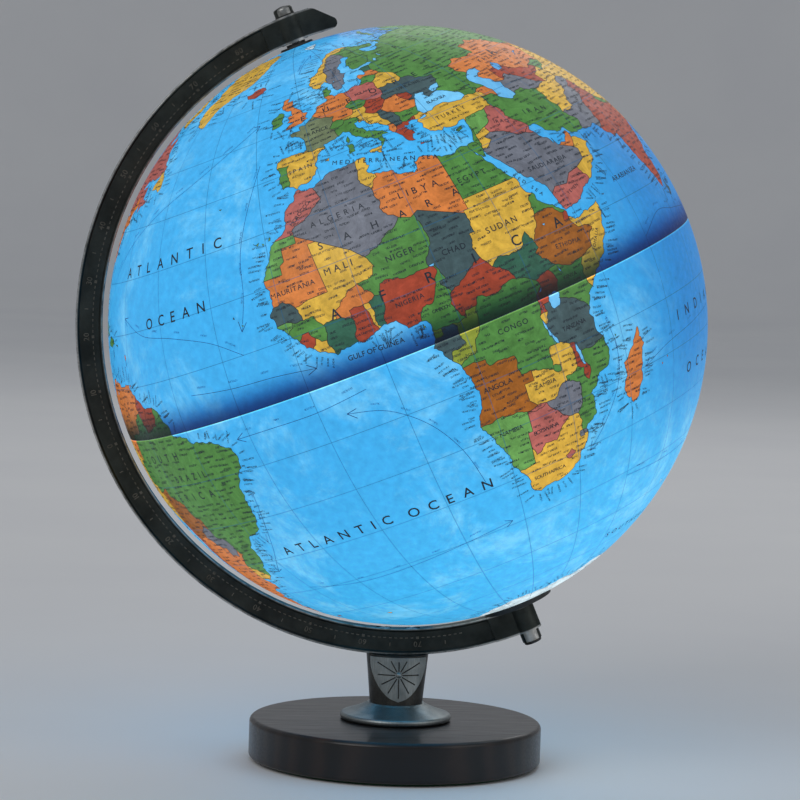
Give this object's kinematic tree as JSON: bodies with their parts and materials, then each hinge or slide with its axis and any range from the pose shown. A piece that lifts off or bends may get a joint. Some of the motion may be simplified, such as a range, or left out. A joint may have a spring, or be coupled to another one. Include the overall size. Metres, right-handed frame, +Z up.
{
  "type": "desktop globe on stand",
  "caption": "Illuminated desktop world globe that spins on a tilted axis in a half meridian arm, on a short post and a round wooden base.",
  "frame": {"origin": "centre of the base's underside, on the table", "axes": "+Z up; the meridian arm lies in the XZ plane and the north pole leans 23.5 degrees from +Z towards -X; +Y points away from the viewer who sees the arm on the left"},
  "size_m": [0.3212, 0.3048, 0.385],
  "materials": {
    "map_shell": "satin printed plastic, lit from inside",
    "pale_plastic": "matt ivory moulding",
    "dark_plastic": "matt black moulding",
    "arm_metal": "antique dark bronze with rubbed pewter borders",
    "post_metal": "antique dark, satin",
    "pewter": "satin pewter",
    "steel": "zinc plated",
    "brass": "drawn brass",
    "dark_wood": "espresso stain under satin varnish",
    "felt": "pressed felt",
    "porcelain": "glazed ceramic body",
    "lamp_glass": "clear glass, lit",
    "filament": "hot tungsten"
  },
  "bodies": {
    "stand": {"base_felt": "felt", "base_disc": "dark_wood", "base_bolt": "steel", "base_washer": "steel", "foot_flange": "pewter", "post": "post_metal", "front_shield": "pewter", "rear_shield": "pewter", "meridian_arm": "arm_metal", "meridian_screws": "steel", "lamp_nipple": "brass", "nipple_nut": "arm_metal", "cord_bush": "dark_plastic", "nipple_locknut": "steel", "lamp_base": "dark_plastic", "thrust_ring": "dark_plastic", "terminal_block": "pale_plastic", "terminal_screws": "brass", "socket_leads": "dark_plastic", "lamp_socket": "porcelain", "socket_shell": "brass", "socket_contact": "brass", "bulb_cap": "steel", "bulb_contact": "dark_plastic", "bulb_glass": "lamp_glass", "bulb_stem": "lamp_glass", "bulb_filament": "filament"},
    "ball": {"north_hemisphere": "map_shell", "south_hemisphere": "map_shell", "equator_ring": "pale_plastic", "north_bush": "dark_plastic", "north_push_ring": "steel", "north_spacer": "dark_plastic", "south_collar": "dark_plastic"},
    "pivot_carrier": {"knob_washer": "dark_plastic"},
    "pivot": {"pivot_screw": "steel", "pivot_knob": "arm_metal"}
  },
  "joints": [
    {"name": "globe_spin", "type": "hinge", "parent": "stand", "child": "ball", "pos_m": [0, 0, 0.2245], "axis": [-0.3987, 0, 0.9171], "continuous": true},
    {"name": "pivot_rise", "type": "slide", "parent": "stand", "child": "pivot_carrier", "axis": [-0.3987, 0, 0.9171], "range_m": [0, 0.012]},
    {"name": "knob_turn", "type": "hinge", "parent": "pivot_carrier", "child": "pivot", "pos_m": [-0.06731, 0, 0.3793], "axis": [-0.3987, 0, 0.9171], "range_deg": [0, 4320]}
  ],
  "couplings": [
    {"joint": "knob_turn", "follows": "pivot_rise", "rad_per_m": 6283.2}
  ]
}
